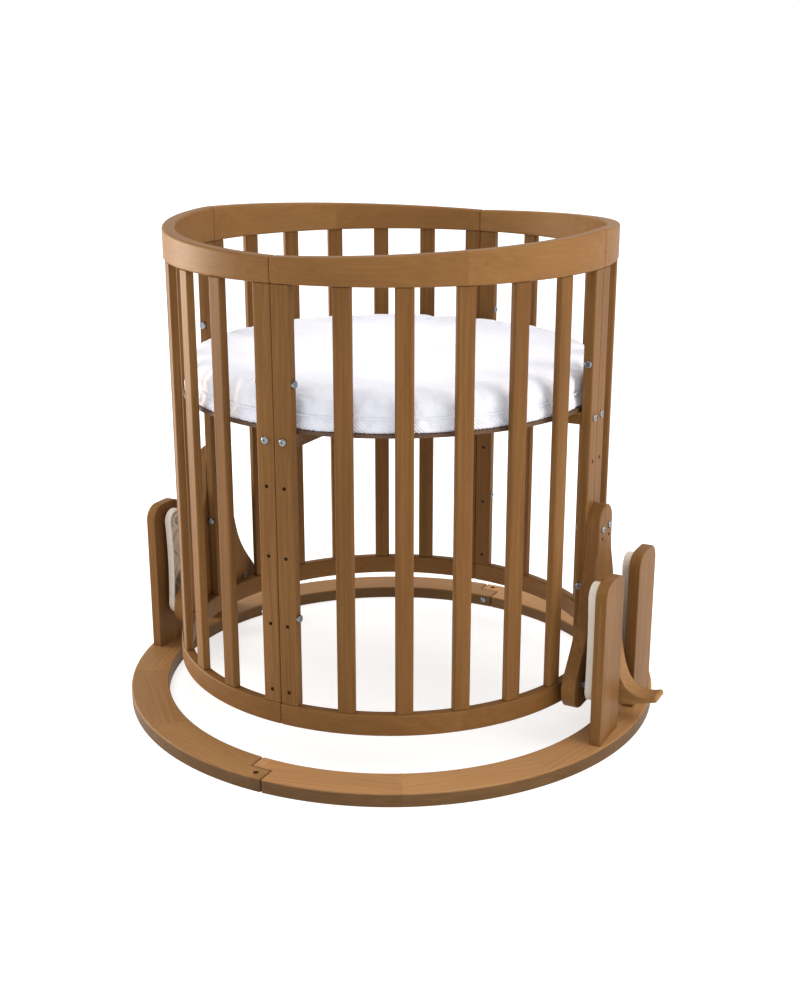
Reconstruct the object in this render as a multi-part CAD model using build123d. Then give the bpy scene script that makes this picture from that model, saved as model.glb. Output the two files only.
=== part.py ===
from build123d import *
import os

# Round baby crib hung on a pendulum stand.
# Frame: +Z up, millimetres, origin at the centre of the floor ring's underside.
# +X points to the right-hand pendulum, -Y to the front seam of the crib body.

# ---------------------------------------------------------------- driving dimensions

# Crib body: four quarter panels round the bed
crib_radius = 400.0           # outside of the bottom ring and the top rail
panel_gap = 0.6               # open seam between two neighbouring panels
seam_corner_round = 2.5       # rounding of a rail's corners at a seam

bottom_ring_thickness = 18.0  # radial
bottom_ring_height = 38.0
bottom_ring_round = 3.0

top_rail_thickness = 22.0     # radial
top_rail_low = 41.0           # height over the front and back seams
top_rail_high = 64.0          # height over the left and right seams
top_rail_round = 4.0

slat_length = 708.0           # clear height between bottom ring and top rail
slat_width = 30.0
slat_thickness = 14.0
slat_round = 4.0
upright_end_round = 2.0       # slats and posts, where they meet the rails
slat_setback = 2.0            # slat face behind the ring's outside
slats_per_panel = 5
slat_pitch = 14.0             # degrees
tenon_length = 12.0
tenon_shoulder = 3.5          # each side
tenon_play = 0.1
mortise_extra_depth = 0.8

# Seam posts: one at each end of a panel, bolted in pairs
seam_post_width = 32.5
seam_post_thickness = 18.0
seam_post_round = 2.5
seam_post_setback = 2.0
seam_bolt_inset = 157.0       # from each rail to the seam bolt
hole_row_start = 23.0         # first hole row above the bottom ring
hole_row_pitch = 119.0
hole_rows = 4
platform_bolt_rise = 77.0     # platform bolts above the top spare hole row

# Floor ring and stand posts
floor_ring_thickness = 24.0
floor_ring_width = 70.0
floor_ring_toe = 24.0         # floor ring outside the stand posts
floor_ring_round = 3.0
lap_half_length = 19.5
lap_gap = 1.0                 # open joint between the two halves
lap_corner_round = 4.0        # where the joint meets the rims
ground_gap = 52.0             # floor ring to crib bottom ring
stand_post_width = 91.0
stand_post_thickness = 20.0
stand_post_head = 35.0        # above the upper pivot
stand_post_corner = 30.0
stand_post_round = 2.0
post_screw_spacing = 54.0
post_screw_length = 62.0
post_screw_pilot = 2.0        # pilot hole past the screw's end

# Pendulum: pivots, links, brackets and pedals
pivot_offset = 86.5           # pivots either side of the bracket's centre line
pivot_span = 171.0            # link length between pivots
lower_pivot_rise = 35.0       # lower pivot above the underside of the bottom ring
link_thickness = 15.0
link_end_radius = 23.0
link_waist = 38.0
link_round = 2.5
link_wall = 4.0               # round the cored pockets
link_boss_radius = 15.0       # solid round each pivot
link_rib = 3.0
link_ribs = 4
link_rib_lean = 45.0          # degrees, in turn to either side
link_pocket_depth = 8.0
link_side_play = 0.3
washer_thickness = 6.0
washer_radius = 11.0
spacer_length = 11.0
spacer_radius = 8.0
bracket_thickness = 24.0
bracket_lobe_radius = 41.0
bracket_head = 41.0           # above the upper bracket bolts
bracket_neck_width = 66.0
bracket_neck_rise = 94.0      # neck's lower end above the lower bracket bolts
lobe_touch = 40.0             # degrees round the lobe, where the flank runs into it
lobe_side = -25.0             # degrees, a point of the lobe's arc
bracket_flank = [(0.15, 0.24), (0.31, 0.47), (0.49, 0.70)]   # flare's sag, shares of its width and height
bracket_round = 3.0
bracket_ring_play = 0.3
bracket_nut_recess = 8.0      # relief's depth that the lower pivot's bore runs through
spare_hole_drop = 17.5        # height adjustment holes under the upper bracket bolts
pedal_width = 42.0
pedal_reach = 114.0
pedal_tip_thickness = 12.0
pedal_top_gap = 5.0           # pedal's root under the heads of the lower bracket bolts
pedal_drop = 18.0             # pedal's root below the bracket
pedal_tip_rise = 21.5         # tip above the root
pedal_hollow = [(0.74, -0.044), (0.54, 0.01), (0.37, 0.23), (0.30, 0.45)]   # shares of reach and height
pedal_nose_round = 5.0
pedal_round = 2.0
pedal_screw_rows = (0.2, 0.65)         # shares of the height above the bottom ring
pedal_screw_bite = (0.08, 0.24)        # shares of the reach, at the thin top and at the root

# Bed: bearers, board and mattress
bearer_width = 64.0
bearer_height = 21.0
bearer_end_play = 0.2
board_thickness = 6.0
board_edge_chamfer = 0.8
board_clearance = 4.0         # board edge to the seam posts
board_screw_rows = (0.45, 0.88)        # shares of the board's radius
board_screw_bite = 12.6       # in the bearers
board_screw_pilot = 2.1       # pilot hole past the screw's end
mattress_inset = 4.0          # mattress edge inside the board edge
mattress_thickness = 65.0
mattress_round = 20.0
soft_clearance = 0.3

# Fasteners
bolt_radius = 3.0
bolt_play = 0.5
bolt_head_radius = 6.5
bolt_head_height = 3.0
bolt_head_rim = 0.7           # straight edge under the dome
hex_key = 4.0                 # across flats
hex_depth = 1.8
cap_nut_radius = 6.5
cap_nut_height = 5.0
cap_nut_wall = 1.0            # closed end
cap_nut_chamfer = 0.9
bolt_end_gap = 0.5            # bolt's end to the closed end of its nut
thread_play = 0.05
barrel_nut_radius = 5.0
barrel_nut_inset = 30.0       # cross dowel from the bearer's end
barrel_nut_length = 14.0
barrel_nut_recess = 1.0       # cross dowel's end inside the bearer's underside
barrel_play = 0.1
pivot_radius = 5.0            # shoulder that a link turns on
pivot_play = 0.06
pivot_thread_radius = 4.0
pivot_head_radius = 8.5
pivot_head_height = 4.0
pivot_nut_radius = 7.5
insert_radius = 6.5
insert_length = 17.0
insert_floor = 1.0            # closed end of the insert
pivot_thread_end_gap = 1.0    # bolt's end to that floor
screw_radius = 3.0
screw_play = 0.2
screw_head_radius = 5.5
overshoot = 1.0               # how far a cut starts outside the face it opens

# ---------------------------------------------------------------- derived places

cap_nut_grip = cap_nut_height - cap_nut_wall - bolt_end_gap

ring_bottom_z = floor_ring_thickness + ground_gap
ring_top_z = ring_bottom_z + bottom_ring_height
rail_bottom_z = ring_top_z + slat_length

seam_post_out = crib_radius - seam_post_setback
seam_post_in = seam_post_out - seam_post_thickness
seam_post_mid = (seam_post_out + seam_post_in) / 2
seam_post_offset = (panel_gap + seam_post_width) / 2
seam_half_width = panel_gap / 2 + seam_post_width
hole_row_z = [ring_top_z + hole_row_start + hole_row_pitch * i for i in range(hole_rows)]
platform_bolt_z = hole_row_z[-1] + platform_bolt_rise
seam_bolt_z = [ring_top_z + seam_bolt_inset, rail_bottom_z - seam_bolt_inset]

bracket_in = seam_post_out
bracket_out = bracket_in + bracket_thickness
link_in = bracket_out + spacer_length
link_out = link_in + link_thickness
stand_post_in = link_out + washer_thickness
stand_post_out = stand_post_in + stand_post_thickness
lower_pivot_z = ring_bottom_z + lower_pivot_rise
upper_pivot_z = lower_pivot_z + pivot_span
stand_post_top_z = upper_pivot_z + stand_post_head
bracket_bottom_z = lower_pivot_z - bracket_lobe_radius
bracket_bolt_z = [hole_row_z[1], hole_row_z[2]]
pedal_top_z = bracket_bolt_z[0] - bolt_head_radius - pedal_top_gap
pedal_bottom_z = bracket_bottom_z - pedal_drop

floor_ring_out = stand_post_out + floor_ring_toe
floor_ring_in = floor_ring_out - floor_ring_width
lap_radius = (floor_ring_out + floor_ring_in) / 2

bearer_z = platform_bolt_z - bearer_height / 2
bearer_end = seam_post_in - bearer_end_play
board_z = bearer_z + bearer_height
board_radius = seam_post_in - board_clearance
mattress_z = board_z + board_thickness + soft_clearance
mattress_radius = board_radius - mattress_inset


# ---------------------------------------------------------------- shared shapes

def rod(radius, start, end):
    """Round bar between two points."""
    axis = Vector(*end) - Vector(*start)
    plane = Plane(origin=start, z_dir=axis)
    return extrude(plane * Circle(radius), axis.length)


def countersink(radius, shank, start, direction):
    """Cone of a countersunk head, its wide end at the start point."""
    height = radius - shank
    plane = Plane(origin=start, z_dir=direction)
    return loft([plane * Circle(radius), plane.offset(height) * Circle(shank)])


def bolt(seat, direction, length, radius=bolt_radius, head=bolt_head_radius, height=bolt_head_height):
    """Button-headed hex socket bolt: its head sits on the seat, its shank runs along direction."""
    plane = Plane(origin=seat, z_dir=direction)
    cap = extrude(plane * Circle(head), -height)
    rim = cap.edges().sort_by(Axis(seat, direction))[0]
    cap = fillet(rim, height - bolt_head_rim)
    socket = extrude(plane.offset(-height) * RegularPolygon(hex_key / 2, 6, major_radius=False), hex_depth)
    return cap - socket + extrude(plane * Circle(radius), length)


def cap_nut(seat, direction, thread=bolt_radius, radius=cap_nut_radius, height=cap_nut_height):
    """Flat round nut, open at its seat, closed and chamfered outside."""
    plane = Plane(origin=seat, z_dir=direction)
    body = extrude(plane * Circle(radius), height)
    body = chamfer(body.edges().sort_by(Axis(seat, direction))[-1], cap_nut_chamfer)
    return body - extrude(plane * Circle(thread + thread_play), height - cap_nut_wall)


def turned(solid, angle):
    return Rot(0, 0, angle) * solid


def mirrored(solid, plane):
    return mirror(solid, about=plane)


def annulus(inner, outer):
    return Circle(outer) - Circle(inner)


def save(name, shape):
    """Write one node's solids."""
    shape = Compound(children=list(shape)) if isinstance(shape, (list, tuple)) else shape
    export_step(shape, f"parts/{name}.step")


# ---------------------------------------------------------------- floor ring

def ring_joint_hardware():
    """Radial bolt and cross dowel of the front lap joint: (bolt, barrel nut, bolt hole, nut hole)."""
    seat = (0, -floor_ring_in - bolt_head_height, floor_ring_thickness / 2)
    nut_y = -(lap_radius + floor_ring_out) / 2
    reach = -nut_y - floor_ring_in - bolt_head_height + barrel_nut_radius
    joint_bolt = bolt(seat, (0, -1, 0), reach)
    nut = Pos(0, nut_y, floor_ring_thickness / 2) * Cylinder(barrel_nut_radius, barrel_nut_length)
    mouth = (0, -floor_ring_in + overshoot, seat[2])
    end = (0, nut_y - barrel_nut_radius - overshoot, seat[2])
    nut -= rod(bolt_radius + thread_play, seat, end)
    bolt_hole = rod(bolt_radius + bolt_play, mouth, end)
    bolt_hole += rod(bolt_head_radius + bolt_play, mouth, seat)
    nut_hole = Pos(0, nut_y, floor_ring_thickness / 2) * Cylinder(
        barrel_nut_radius + barrel_play, floor_ring_thickness)
    nut_hole -= Pos(0, nut_y, 0) * Cylinder(
        barrel_nut_radius + barrel_play, floor_ring_thickness - barrel_nut_length)
    return joint_bolt, nut, bolt_hole, nut_hole


def post_screw_places():
    """Screw centres of the four stand posts."""
    x = (stand_post_in + stand_post_out) / 2
    return [(sx * x, sy * pivot_offset + dy) for sx in (1, -1) for sy in (1, -1)
            for dy in (-post_screw_spacing / 2, post_screw_spacing / 2)]


def floor_ring_half():
    """Right half of the floor ring, with an inner tongue in front and an outer tongue behind."""
    size = 2 * floor_ring_out
    gap = lap_gap / 2
    inner = annulus(floor_ring_in, lap_radius - gap)
    outer = annulus(lap_radius + gap, floor_ring_out)
    right = Pos(lap_half_length + gap + size / 2, 0) * Rectangle(size, size)
    half = annulus(floor_ring_in, floor_ring_out) & right
    tongue = Pos(gap + lap_half_length / 2, 0) * Rectangle(3 * lap_half_length, 2 * size)
    half += inner & tongue & Pos(0, -size / 2) * Rectangle(size, size)
    half += outer & tongue & Pos(0, size / 2) * Rectangle(size, size)
    corners = [vertex for vertex in half.vertices()
               if min(abs(vertex.center().length - rim) for rim in (floor_ring_in, floor_ring_out)) < gap]
    half = fillet(corners, lap_corner_round)
    solid = extrude(half, floor_ring_thickness)
    solid = fillet(solid.faces().sort_by(Axis.Z)[-1].edges(), floor_ring_round)
    _, _, bolt_hole, nut_hole = ring_joint_hardware()
    solid -= bolt_hole + turned(bolt_hole, 180) + turned(nut_hole, 180)
    above = floor_ring_thickness + overshoot
    for x, y in post_screw_places():
        if x > 0:
            solid -= rod(screw_radius + screw_play, (x, y, -overshoot), (x, y, above))
            solid -= countersink(screw_head_radius + screw_play, screw_radius, (x, y, 0), (0, 0, 1))
    return solid


def post_screw(x, y):
    shank = rod(screw_radius, (x, y, 0), (x, y, post_screw_length))
    return shank + countersink(screw_head_radius, screw_radius, (x, y, 0), (0, 0, 1))


# ---------------------------------------------------------------- pendulum stand

def stand_post():
    """Back right stand post, with a blind seat for the upper pivot's insert and two pilot holes."""
    height = stand_post_top_z - floor_ring_thickness
    outline = Rectangle(stand_post_width, height, align=(Align.CENTER, Align.MIN))
    outline = fillet(outline.vertices().group_by(Axis.Y)[-1], stand_post_corner)
    foot = (stand_post_in, pivot_offset, floor_ring_thickness)
    plane = Plane(origin=foot, x_dir=(0, 1, 0), z_dir=(1, 0, 0))
    solid = extrude(plane * outline, stand_post_thickness)
    broad = solid.faces().filter_by(Axis.X)
    rims = [edge for edge in broad.edges() if edge.bounding_box().max.Z > floor_ring_thickness + overshoot]
    solid = fillet(rims, stand_post_round)
    solid -= rod(insert_radius + thread_play, (stand_post_in - overshoot, pivot_offset, upper_pivot_z),
                 (stand_post_in + insert_length, pivot_offset, upper_pivot_z))
    pilot_end = post_screw_length + post_screw_pilot
    for x, y in post_screw_places():
        if x > 0 and y > 0:
            solid -= rod(screw_radius + thread_play, (x, y, 0), (x, y, pilot_end))
    return solid


def upper_pivot():
    """Back right upper pivot: (shoulder bolt, threaded insert, washer)."""
    y, z = pivot_offset, upper_pivot_z
    stand_bolt = bolt((link_in, y, z), (1, 0, 0), stand_post_in - link_in,
                      pivot_radius, pivot_head_radius, pivot_head_height)
    bore_end = stand_post_in + insert_length - insert_floor
    stand_bolt += rod(pivot_thread_radius, (stand_post_in, y, z), (bore_end - pivot_thread_end_gap, y, z))
    insert = rod(insert_radius, (stand_post_in, y, z), (stand_post_in + insert_length, y, z))
    insert -= rod(pivot_thread_radius + thread_play, (stand_post_in, y, z), (bore_end, y, z))
    washer = rod(washer_radius, (link_out, y, z), (stand_post_in, y, z))
    washer -= rod(pivot_radius + pivot_play, (link_out, y, z), (stand_post_in, y, z))
    return stand_bolt, insert, washer


def link_outline(inset):
    """Waisted outline of a link: an end arc round each pivot, joined by one long hollow arc each side."""
    half = pivot_span / 2
    end = link_end_radius
    waist = link_waist / 2
    hollow = (half ** 2 + waist ** 2 - end ** 2) / (2 * (end - waist))
    far = hollow + waist
    touch = (end * far / (end + hollow), half - end * half / (end + hollow))
    shrink = (end - inset) / end
    touch = (touch[0] * shrink, half - (half - touch[1]) * shrink)
    side = ThreePointArc(touch, (waist - inset, 0), (touch[0], -touch[1]))
    foot = ThreePointArc((touch[0], -touch[1]), (0, inset - half - end), (-touch[0], -touch[1]))
    return make_face([side, foot, mirror(side, about=Plane.YZ), mirror(foot, about=Plane.XZ)])


def link_pockets():
    """Cored pockets between zigzag ribs, clear of both pivot bosses."""
    half = pivot_span / 2
    pockets = link_outline(link_wall)
    for z in (half, -half):
        pockets -= Pos(0, z) * Circle(link_boss_radius)
    pitch = (pivot_span - 2 * link_boss_radius) / link_ribs
    for i in range(link_ribs):
        lean = link_rib_lean if i % 2 else -link_rib_lean
        rib = Rot(0, 0, lean) * Rectangle(link_rib, 2 * link_waist)
        pockets -= Pos(0, (i - (link_ribs - 1) / 2) * pitch) * rib
    return pockets


def swing_link():
    """Back right link: moulded plate, cored inside, with a recess for the lower bolt's head."""
    plane = Plane(origin=(link_in + link_side_play, pivot_offset, (upper_pivot_z + lower_pivot_z) / 2),
                  x_dir=(0, 1, 0), z_dir=(1, 0, 0))
    solid = extrude(plane * link_outline(0), link_thickness - 2 * link_side_play)
    solid = fillet(solid.faces().filter_by(Axis.X).edges(), link_round)
    solid -= extrude(plane * link_pockets(), link_pocket_depth)
    y = pivot_offset
    for z in (upper_pivot_z, lower_pivot_z):
        solid -= rod(pivot_radius + pivot_play, (link_in - overshoot, y, z), (link_out + overshoot, y, z))
    head = pivot_head_radius + link_side_play
    depth = pivot_head_height + link_side_play
    solid -= rod(head, (link_out - depth, y, lower_pivot_z), (link_out + overshoot, y, lower_pivot_z))
    return solid


def lower_pivot():
    """Back right lower pivot: (shoulder bolt, spacer, nut), all carried by the bracket."""
    y, z = pivot_offset, lower_pivot_z
    head_seat = link_out - link_side_play - pivot_head_height
    body_bolt = bolt((head_seat, y, z), (-1, 0, 0), head_seat - bracket_out,
                     pivot_radius, pivot_head_radius, pivot_head_height)
    body_bolt += rod(pivot_thread_radius, (bracket_out, y, z), (bracket_in - cap_nut_grip, y, z))
    spacer = rod(spacer_radius, (bracket_out, y, z), (link_in, y, z))
    spacer -= rod(pivot_radius + pivot_play, (bracket_out, y, z), (link_in, y, z))
    nut = cap_nut((bracket_in, y, z), (-1, 0, 0), pivot_thread_radius, pivot_nut_radius)
    return body_bolt, spacer, nut


def swing_bracket():
    """Right bracket: an anchor-shaped plate with a rounded head, a flaring neck and two lobes."""
    neck = bracket_neck_width / 2
    head_z = bracket_bolt_z[1] + bracket_head - neck
    neck_z = bracket_bolt_z[0] + bracket_neck_rise
    lobe = Vector(pivot_offset, lower_pivot_z)
    touch = lobe + Vector(bracket_lobe_radius, 0).rotate(Axis.Z, lobe_touch)
    bulge = lobe + Vector(bracket_lobe_radius, 0).rotate(Axis.Z, lobe_side)
    sag = [(neck + wide * (touch.X - neck), neck_z + drop * (touch.Y - neck_z))
           for wide, drop in bracket_flank]
    flank = [
        Line((neck, head_z), (neck, neck_z)),
        Spline((neck, neck_z), *sag, touch, tangents=[(0, -1), (0.64, -0.77)]),
        ThreePointArc(touch, bulge, (pivot_offset, bracket_bottom_z)),
    ]
    foot = Line((pivot_offset, bracket_bottom_z), (-pivot_offset, bracket_bottom_z))
    crown = ThreePointArc((neck, head_z), (0, head_z + neck), (-neck, head_z))
    outline = make_face(flank + [foot, crown] + [mirror(edge, about=Plane.YZ) for edge in flank])
    plane = Plane(origin=(bracket_in, 0, 0), x_dir=(0, 1, 0), z_dir=(1, 0, 0))
    solid = extrude(plane * outline, bracket_thickness)
    return fillet(solid.faces().sort_by(Axis.X)[-1].edges(), bracket_round)


def bracket_holes():
    """What is taken out of the right bracket: bolt holes, pivots and the relief over the bottom ring."""
    near = bracket_in - overshoot
    far = bracket_out + overshoot
    relief = Cylinder(crib_radius + bracket_ring_play, ring_top_z + bracket_ring_play,
                      align=(Align.CENTER, Align.CENTER, Align.MIN))
    cuts = relief
    rows = bracket_bolt_z + [bracket_bolt_z[1] - spare_hole_drop]
    for side in (-1, 1):
        for z in rows:
            y = side * seam_post_offset
            cuts += rod(bolt_radius + bolt_play, (near, y, z), (far, y, z))
        y = side * pivot_offset
        cuts += rod(pivot_thread_radius + thread_play, (bracket_in - bracket_nut_recess, y, lower_pivot_z),
                    (far, y, lower_pivot_z))
    for z in pedal_screw_z():
        cuts += rod(screw_radius + screw_play, (near, 0, z), (far, 0, z))
        cuts += countersink(screw_head_radius + screw_play, screw_radius, (bracket_in, 0, z), (1, 0, 0))
    return cuts


# ---------------------------------------------------------------- foot pedal

def pedal_screw_z():
    """Heights of the two pedal screws, above the bottom ring."""
    span = pedal_top_z - ring_top_z
    return [ring_top_z + row * span for row in pedal_screw_rows]


def pedal_screw_end(z):
    """How far a pedal screw reaches: deep in the thick root, short near the thin top."""
    share = (pedal_top_z - z) / (pedal_top_z - ring_top_z)
    least, most = pedal_screw_bite
    return bracket_out + pedal_reach * (least + (most - least) * share)


def foot_pedal():
    """Right pedal: a rib with a concave top that sweeps from the bracket out to a flat tread."""
    tip_x = bracket_out + pedal_reach
    tip_low = pedal_bottom_z + pedal_tip_rise
    tip_top = tip_low + pedal_tip_thickness
    height = pedal_top_z - tip_top
    hollow = [(bracket_out + out * pedal_reach, tip_top + up * height) for out, up in pedal_hollow]
    top = Spline((tip_x, tip_top), *hollow, (bracket_out, pedal_top_z))
    under = Spline((bracket_out, pedal_bottom_z), (tip_x, tip_low), tangents=[(1, 0), (1, 0.3)])
    outline = make_face([top, Line((bracket_out, pedal_top_z), (bracket_out, pedal_bottom_z)),
                         under, Line((tip_x, tip_low), (tip_x, tip_top))])
    plane = Plane(origin=(0, pedal_width / 2, 0), x_dir=(1, 0, 0), z_dir=(0, -1, 0))
    solid = extrude(plane * outline, pedal_width)
    heel, nose = solid.edges().filter_by(Axis.Y).group_by(Axis.X)[-1].sort_by(Axis.Z)
    solid = fillet(heel, pedal_round)
    nose = solid.edges().filter_by(Axis.Y).group_by(Axis.X)[-1].sort_by(Axis.Z)[-1]
    solid = fillet(nose, pedal_nose_round)
    rims = solid.faces().filter_by(Axis.Y).edges()
    solid = fillet([edge for edge in rims if edge.center().X > bracket_out + overshoot], pedal_round)
    for z in pedal_screw_z():
        pilot_end = pedal_screw_end(z) + overshoot
        solid -= rod(screw_radius + thread_play, (bracket_out - overshoot, 0, z), (pilot_end, 0, z))
    return solid


def pedal_screw(z):
    shank = rod(screw_radius, (bracket_in, 0, z), (pedal_screw_end(z), 0, z))
    return shank + countersink(screw_head_radius, screw_radius, (bracket_in, 0, z), (1, 0, 0))


# ---------------------------------------------------------------- crib panels

def quarter(inner, outer, height):
    """Quarter ring from the front seam to the right seam, held back by half a seam gap."""
    size = 2 * outer
    corner = Pos(size / 2 + panel_gap / 2, -size / 2 - panel_gap / 2) * Rectangle(size, size)
    return extrude(annulus(inner, outer) & corner, height)


def round_quarter(solid, edge_round):
    """Round a quarter ring's long edges, then the rims of its two end faces."""
    long_edges = [edge for edge in solid.edges() if edge.length > crib_radius]
    solid = fillet(long_edges, edge_round)
    ends = [face for face in solid.faces().filter_by(GeomType.PLANE) if abs(face.normal_at().Z) < 0.1]
    return fillet([edge for face in ends for edge in face.edges()], seam_corner_round)


def panel_slots():
    """(angle, radius, width, thickness, offset along the ring) of the five slats and two end posts."""
    first = -45.0 - slat_pitch * (slats_per_panel - 1) / 2
    radius = crib_radius - slat_setback - slat_thickness / 2
    slots = [(first + slat_pitch * i, radius, 0.0, slat_width, slat_thickness)
             for i in range(slats_per_panel)]
    slots.append((-90.0, seam_post_mid, seam_post_offset, seam_post_width, seam_post_thickness))
    slots.append((0.0, seam_post_mid, -seam_post_offset, seam_post_width, seam_post_thickness))
    return slots


def at_slot(solid, slot):
    angle, radius, offset, _, _ = slot
    return Rot(0, 0, angle) * Pos(radius, offset, 0) * solid


def mortises():
    """Pockets for every tenon of the panel, in the bottom ring and the top rail."""
    depth = tenon_length + mortise_extra_depth
    less = 2 * (tenon_shoulder - tenon_play)
    cuts = []
    for slot in panel_slots():
        _, _, _, width, thickness = slot
        low = Pos(0, 0, ring_top_z) * Box(thickness - less, width - less, 2 * depth)
        high = Pos(0, 0, rail_bottom_z) * Box(thickness - less, width - less, 2 * depth)
        cuts += [at_slot(low, slot), at_slot(high, slot)]
    return cuts


def upright(width, thickness, corner):
    """Slat or post: rounded long edges and a shouldered tenon at each end."""
    body = Box(thickness, width, slat_length, align=(Align.CENTER, Align.CENTER, Align.MIN))
    body = fillet(body.edges().filter_by(Axis.Z), corner)
    body = fillet(body.faces().filter_by(Axis.Z).edges(), upright_end_round)
    tenon = Box(thickness - 2 * tenon_shoulder, width - 2 * tenon_shoulder, slat_length + 2 * tenon_length,
                align=(Align.CENTER, Align.CENTER, Align.MIN))
    return Pos(0, 0, ring_top_z) * (body + Pos(0, 0, -tenon_length) * tenon)


def bottom_ring_quarter():
    inner = crib_radius - bottom_ring_thickness
    solid = Pos(0, 0, ring_bottom_z) * quarter(inner, crib_radius, bottom_ring_height)
    solid = round_quarter(solid, bottom_ring_round)
    for cut in mortises():
        solid -= cut
    return solid


def top_rail_quarter():
    """Rail whose top edge climbs from the front seam to the right seam along one sloping plane."""
    inner = crib_radius - top_rail_thickness
    solid = Pos(0, 0, rail_bottom_z) * quarter(inner, crib_radius, 2 * top_rail_high)
    low = Vector(0, -crib_radius, rail_bottom_z + top_rail_low)
    high = Vector(crib_radius, 0, rail_bottom_z + top_rail_high)
    climb = high - low
    slope = Plane(origin=(low + high) / 2, x_dir=climb, z_dir=Vector(1, -1, 0).cross(climb))
    solid -= extrude(slope * Rectangle(4 * crib_radius, 4 * crib_radius), 4 * top_rail_high)
    solid = round_quarter(solid, top_rail_round)
    for cut in mortises():
        solid -= cut
    return solid


def seam_post(slot, bracketed):
    """End post of a panel, bored for the seam bolts, the hole rows and the platform bolt."""
    solid = at_slot(upright(seam_post_width, seam_post_thickness, seam_post_round), slot)
    angle, _, offset, _, _ = slot
    hole = bolt_radius + bolt_play
    through = hole_row_z + [platform_bolt_z]
    if bracketed:
        through.append(bracket_bolt_z[1] - spare_hole_drop)
    near, far = seam_post_in - overshoot, seam_post_out + overshoot
    for z in through:
        solid -= turned(rod(hole, (near, offset, z), (far, offset, z)), angle)
    side = 2 * seam_post_width
    for z in seam_bolt_z:
        solid -= turned(rod(hole, (seam_post_mid, -side, z), (seam_post_mid, side, z)), angle)
    return solid


def seam_bolt(z):
    """Bolt that pulls the two posts of the right seam together, and its nut."""
    seat = (seam_post_mid, -seam_half_width, z)
    far = (seam_post_mid, seam_half_width, z)
    length = 2 * seam_half_width + cap_nut_grip
    return bolt(seat, (0, 1, 0), length), cap_nut(far, (0, 1, 0))


def bracket_bolt(y, z):
    """Bolt through bracket and post, and its nut on the post's inner face."""
    length = bracket_out - seam_post_in + cap_nut_grip
    return bolt((bracket_out, y, z), (-1, 0, 0), length), cap_nut((seam_post_in, y, z), (-1, 0, 0))


# ---------------------------------------------------------------- bed

def platform_bolt(y):
    """Bolt from outside the right seam post into the bearer's cross dowel."""
    nut_x = bearer_end - barrel_nut_inset
    screw = bolt((seam_post_out, y, platform_bolt_z), (-1, 0, 0), seam_post_out - nut_x + barrel_nut_radius)
    nut_z = bearer_z + barrel_nut_recess + barrel_nut_length / 2
    nut = Pos(nut_x, y, nut_z) * Cylinder(barrel_nut_radius, barrel_nut_length)
    nut -= rod(bolt_radius + thread_play, (nut_x - 2 * barrel_nut_radius, y, platform_bolt_z),
               (nut_x + 2 * barrel_nut_radius, y, platform_bolt_z))
    return screw, nut


def bearer_bores(y):
    """Bolt bore and cross dowel bore at the right end of a bearer."""
    nut_x = bearer_end - barrel_nut_inset
    bore = rod(bolt_radius + bolt_play, (bearer_end + overshoot, y, platform_bolt_z),
               (nut_x - barrel_nut_radius - 2 * overshoot, y, platform_bolt_z))
    return bore + rod(barrel_nut_radius + barrel_play, (nut_x, y, bearer_z - overshoot),
                      (nut_x, y, bearer_z + barrel_nut_recess + barrel_nut_length))


def bearer(notch_z):
    """Bar between the left and right seam posts, halved at notch_z where the other bar crosses it."""
    solid = Pos(0, 0, bearer_z + bearer_height / 2) * Box(2 * bearer_end, bearer_width, bearer_height)
    for angle in (0, 180):
        for side in (-1, 1):
            solid -= turned(bearer_bores(side * seam_post_offset), angle)
    notch = Box(bearer_width + 2 * tenon_play, bearer_width + 2 * overshoot, bearer_height)
    return solid - Pos(0, 0, notch_z) * notch


def board_screw_places():
    """How far the two board screws of each arm of the bearers lie from the middle."""
    return [board_radius * share for share in board_screw_rows]


def board_screw(x):
    top = board_z + board_thickness
    shank = rod(screw_radius / 2, (x, 0, top), (x, 0, board_z - board_screw_bite))
    return shank + countersink(screw_radius, screw_radius / 2, (x, 0, top), (0, 0, -1))


def board_screw_hole(x):
    top = board_z + board_thickness
    pilot_end = board_z - board_screw_bite - board_screw_pilot
    shank = rod(screw_radius / 2 + thread_play, (x, 0, top + overshoot), (x, 0, pilot_end))
    return shank + countersink(screw_radius + thread_play, screw_radius / 2, (x, 0, top), (0, 0, -1))


def platform_board():
    solid = Pos(0, 0, board_z) * Cylinder(board_radius, board_thickness,
                                          align=(Align.CENTER, Align.CENTER, Align.MIN))
    return chamfer(solid.edges().group_by(Axis.Z)[-1], board_edge_chamfer)


def mattress():
    solid = Pos(0, 0, mattress_z) * Cylinder(mattress_radius, mattress_thickness,
                                             align=(Align.CENTER, Align.CENTER, Align.MIN))
    return fillet(solid.edges().filter_by(GeomType.CIRCLE), mattress_round)


# ---------------------------------------------------------------- assembly

def four_corners(solid):
    """A back right piece, then its twins at the front right, back left and front left stand posts."""
    front = mirrored(solid, Plane.XZ)
    return [solid, front, mirrored(solid, Plane.YZ), mirrored(front, Plane.YZ)]


def four_seams(solid):
    return [turned(solid, angle) for angle in (-90, 0, 90, 180)]


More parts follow.
